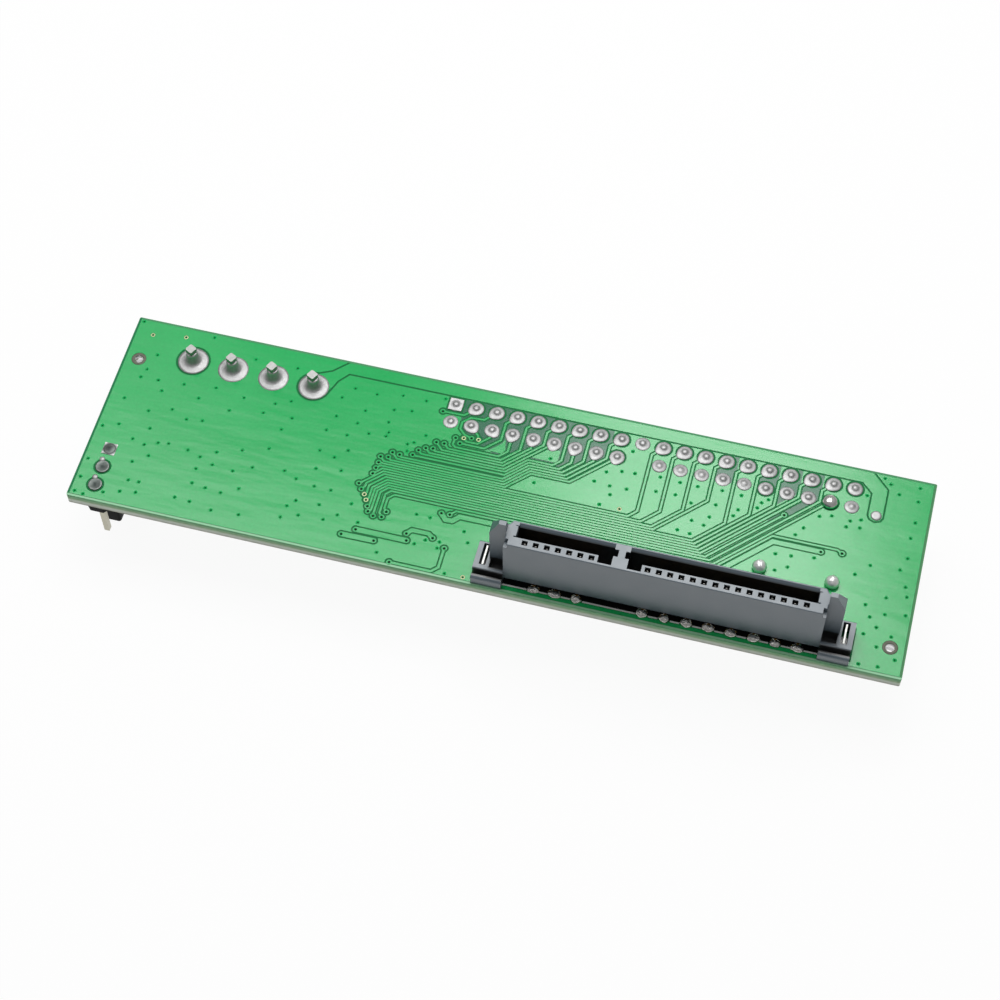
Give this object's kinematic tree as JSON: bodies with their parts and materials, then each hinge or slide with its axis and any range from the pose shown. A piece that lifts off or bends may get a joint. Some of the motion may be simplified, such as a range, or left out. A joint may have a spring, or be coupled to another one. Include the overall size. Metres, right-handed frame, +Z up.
{
  "type": "ide to sata adapter card",
  "caption": "Flat adapter card that joins a ribbon-cable drive port to an upright serial drive socket, with power header, selector and bridge chip underneath.",
  "frame": {"origin": "middle of the board, on the plane of the underside headers' rims that the card stands on", "axes": "+X along the card towards the drive socket's end, +Y from the front edge to the ribbon-cable header, +Z up out of the socket side"},
  "size_m": [0.0984, 0.0264, 0.0204],
  "materials": {
    "green_laminate": "solder-masked glass epoxy, satin",
    "grey_moulding": "moulded, fine matt",
    "black_moulding": "moulded, matt",
    "natural_nylon": "moulded, waxy",
    "tinned_brass": "tin plated, satin",
    "gilt_contact": "flash gold plated",
    "tinned_steel": "tin plated",
    "tinned_lead": "tin plated",
    "solder": "reflowed solder, bright",
    "epoxy_package": "moulded epoxy, matt",
    "ceramic": "fired ceramic",
    "tantalum_moulding": "moulded resin",
    "capacitor_ceramic": "fired ceramic",
    "resistor_glaze": "glazed",
    "lamp_resin": "clear resin",
    "ferrite": "sintered ferrite"
  },
  "bodies": {
    "root": {"bead_solder_joints": "solder", "board_lock_solder": "solder", "bridge_chip_body": "epoxy_package", "bridge_chip_leads": "tinned_lead", "ceramic_capacitors": "capacitor_ceramic", "chip_resistors": "resistor_glaze", "circuit_board": "green_laminate", "crystal_base": "ceramic", "crystal_lid": "tinned_steel", "drive_socket_housing": "grey_moulding", "ferrite_bead": "ferrite", "ferrite_bead_wire": "tinned_brass", "ide_pins": "tinned_brass", "ide_shroud": "black_moulding", "ide_solder_joints": "solder", "jumper_cap": "black_moulding", "jumper_cap_clip": "tinned_brass", "jumper_header_base": "black_moulding", "jumper_pin_1": "tinned_brass", "jumper_pin_2": "tinned_brass", "jumper_pin_3": "tinned_brass", "jumper_solder_joints": "solder", "power_header_housing": "natural_nylon", "power_pin_1": "tinned_brass", "power_pin_2": "tinned_brass", "power_pin_3": "tinned_brass", "power_pin_4": "tinned_brass", "power_solder_joints": "solder", "regulator_body": "epoxy_package", "regulator_leads": "tinned_lead", "resistor_arrays": "resistor_glaze", "socket_board_lock_left": "tinned_steel", "socket_board_lock_right": "tinned_steel", "socket_power_contacts": "gilt_contact", "socket_signal_contacts": "gilt_contact", "socket_tail_solder": "solder", "status_led": "lamp_resin", "tantalum_capacitor_1": "tantalum_moulding", "tantalum_capacitor_2": "tantalum_moulding", "tantalum_terminals": "tinned_lead", "test_pad_solder": "solder"}
  },
  "joints": []
}
